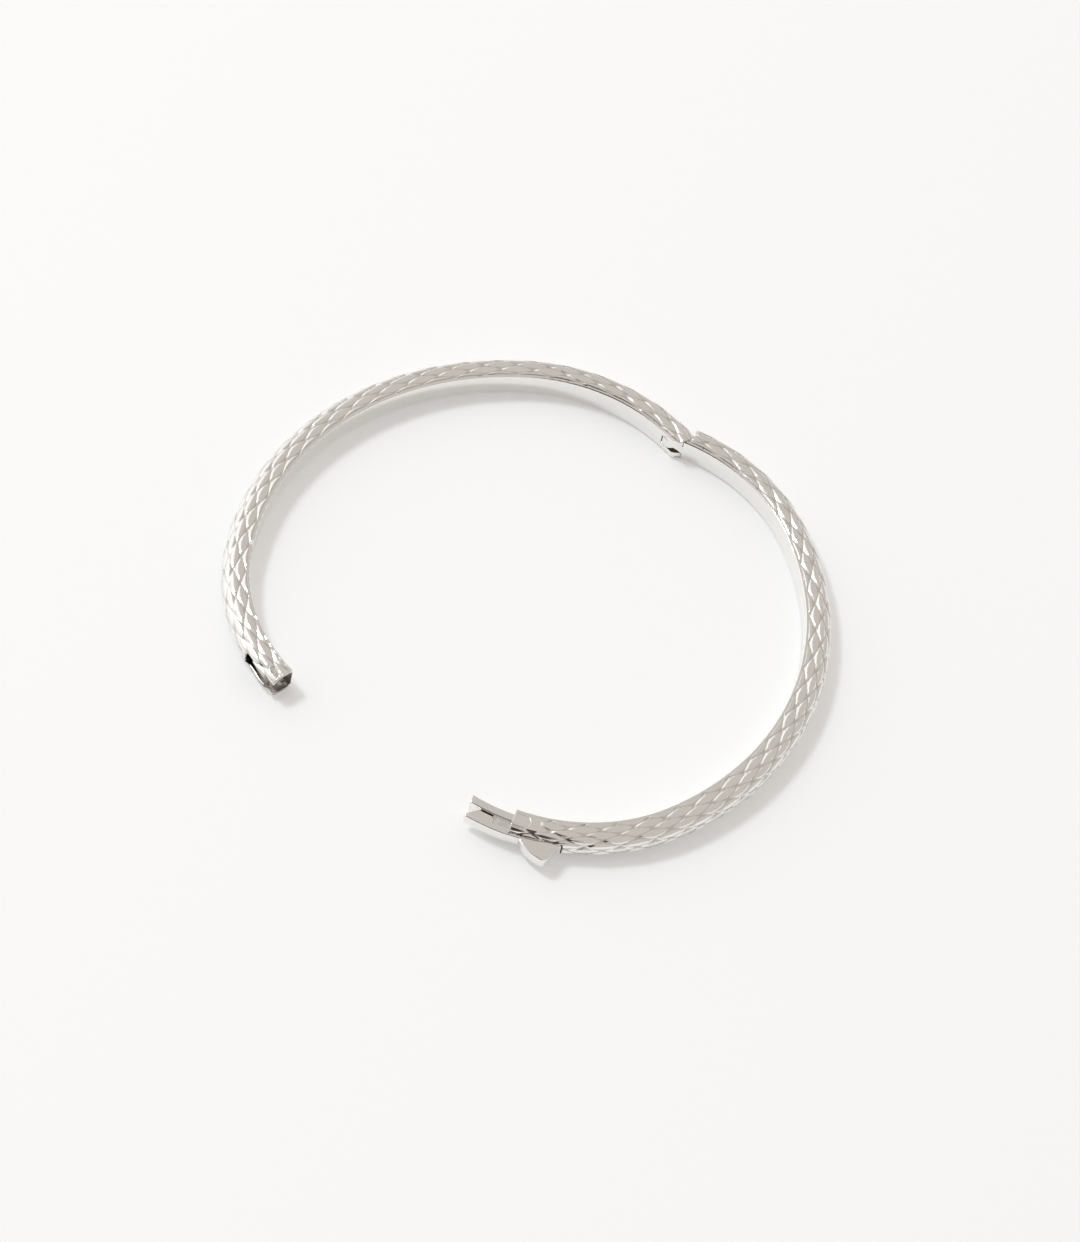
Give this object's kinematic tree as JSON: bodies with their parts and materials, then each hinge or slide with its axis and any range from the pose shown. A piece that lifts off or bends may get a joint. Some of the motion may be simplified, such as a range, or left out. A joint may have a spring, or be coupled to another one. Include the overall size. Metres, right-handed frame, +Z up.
{
  "type": "hinged bangle bracelet",
  "caption": "Oval hinged bangle bracelet with a scale-textured outer shell, smooth inner wall, spring lever clasp with thumb tab and guide prong, lying flat and open.",
  "frame": {"origin": "on the surface the bangle lies on, at the middle of the oval that the closed bangle makes", "axes": "+Z up, along the wrist; +Y towards the hinge; -Y towards the clasp; +X the arm that carries the clasp lever"},
  "size_m": [0.0714, 0.0648, 0.0033],
  "materials": {
    "scaled_shell": "polished silver tone with darkened grooves",
    "polished_liner": "mirror polished silver tone",
    "polished_fittings": "polished silver tone",
    "steel_pins": "drawn wire, filed ends"
  },
  "bodies": {
    "right_arm": {"right_shell": "scaled_shell", "right_liner": "polished_liner", "right_hinge_tongue": "polished_fittings", "clasp_block": "polished_fittings", "guide_prong": "polished_fittings", "lever_pin": "steel_pins", "lever_spring": "steel_pins"},
    "left_arm": {"left_shell": "scaled_shell", "left_liner": "polished_liner", "left_hinge_yoke": "polished_fittings", "hinge_pin": "steel_pins", "catch_pin": "steel_pins"},
    "latch_lever": {"latch_lever": "polished_fittings"}
  },
  "joints": [
    {"name": "bangle_hinge", "type": "hinge", "parent": "right_arm", "child": "left_arm", "pos_m": [0, 0.0313, 0.00165], "axis": [0, 0, 1], "range_deg": [0, 29.5]},
    {"name": "lever_pivot", "type": "hinge", "parent": "right_arm", "child": "latch_lever", "pos_m": [0.01792, -0.02892, 0.00165], "axis": [0, 0, 1], "range_deg": [0, 10], "stiffness_Nm_per_rad": 0.01, "springref_deg": -8.59, "deforming": ["lever_spring"]}
  ]
}
